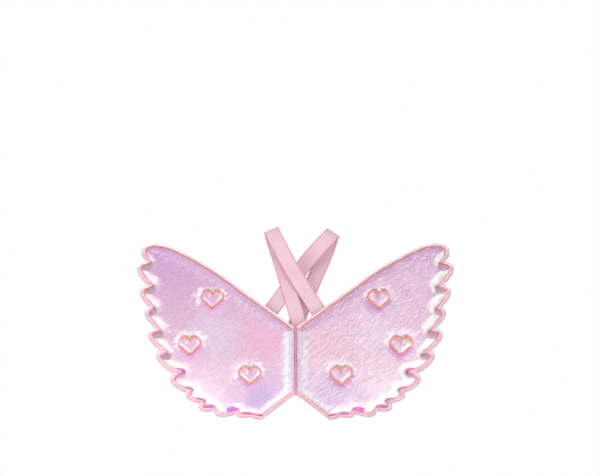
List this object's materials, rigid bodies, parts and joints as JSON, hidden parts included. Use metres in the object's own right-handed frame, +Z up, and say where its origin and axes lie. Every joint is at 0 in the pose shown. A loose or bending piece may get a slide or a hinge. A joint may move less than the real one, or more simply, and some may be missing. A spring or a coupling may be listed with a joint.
{
  "type": "fairy wings",
  "caption": "Pair of padded, scalloped dress-up wings with stitched hearts and crossed elastic shoulder straps on a back patch.",
  "frame": {"origin": "middle of the back patch's flat outer face, which rests on the wearer's back", "axes": "+Z up, +Y out of the back patch towards the wearer, +X from the left wing to the right wing"},
  "size_m": [0.415, 0.04, 0.2538],
  "materials": {
    "pearl_leather": "pearlescent pink and lilac, glossy, finely crinkled",
    "lining": "matt pale pink woven lining",
    "wadding": "white polyester wadding",
    "thread": "peach embroidery thread with a soft shine",
    "elastic": "pale pink woven elastic, matt"
  },
  "bodies": {
    "back": {"spine_seam": "pearl_leather", "spine_stitching": "thread", "back_patch": "lining", "patch_stitching": "thread", "right_strap_outer_end": "elastic", "right_strap_outer_tack": "thread", "right_strap_inner_end": "elastic", "right_strap_inner_tack": "thread", "left_strap_outer_end": "elastic", "left_strap_outer_tack": "thread", "left_strap_inner_end": "elastic", "left_strap_inner_tack": "thread"},
    "left_wing": {"left_wing_front_cover": "pearl_leather", "left_wing_back_cover": "lining", "left_wing_padding": "wadding", "left_wing_edge_needle_thread": "thread", "left_wing_edge_bobbin_thread": "thread", "left_wing_upper_heart_stitching": "thread", "left_wing_outer_heart_stitching": "thread", "left_wing_lower_heart_stitching": "thread"},
    "right_wing": {"right_wing_front_cover": "pearl_leather", "right_wing_back_cover": "lining", "right_wing_padding": "wadding", "right_wing_edge_needle_thread": "thread", "right_wing_edge_bobbin_thread": "thread", "right_wing_upper_heart_stitching": "thread", "right_wing_outer_heart_stitching": "thread", "right_wing_lower_heart_stitching": "thread"},
    "right_strap": {"right_strap": "elastic"},
    "left_strap": {"left_strap": "elastic"}
  },
  "joints": [
    {"name": "left_wing_fold", "type": "hinge", "parent": "back", "child": "left_wing", "pos_m": [-0.0023, -0.0081, -0.0147], "axis": [0, 0, 1], "range_deg": [0, 50], "stiffness_Nm_per_rad": 0.05},
    {"name": "right_wing_fold", "type": "hinge", "parent": "back", "child": "right_wing", "pos_m": [0.0023, -0.0081, -0.0147], "axis": [0, 0, -1], "range_deg": [0, 50], "stiffness_Nm_per_rad": 0.05},
    {"name": "right_strap_swing", "type": "hinge", "parent": "back", "child": "right_strap", "pos_m": [0, -0.0034, 0.0245], "axis": [-1, 0, 0], "range_deg": [0, 90], "stiffness_Nm_per_rad": 0.03},
    {"name": "left_strap_swing", "type": "hinge", "parent": "back", "child": "left_strap", "pos_m": [0, -0.0034, 0.0245], "axis": [-1, 0, 0], "range_deg": [0, 90], "stiffness_Nm_per_rad": 0.03}
  ],
  "couplings": [
    {"joint": "left_strap_swing", "follows": "right_strap_swing", "ratio": 1}
  ]
}
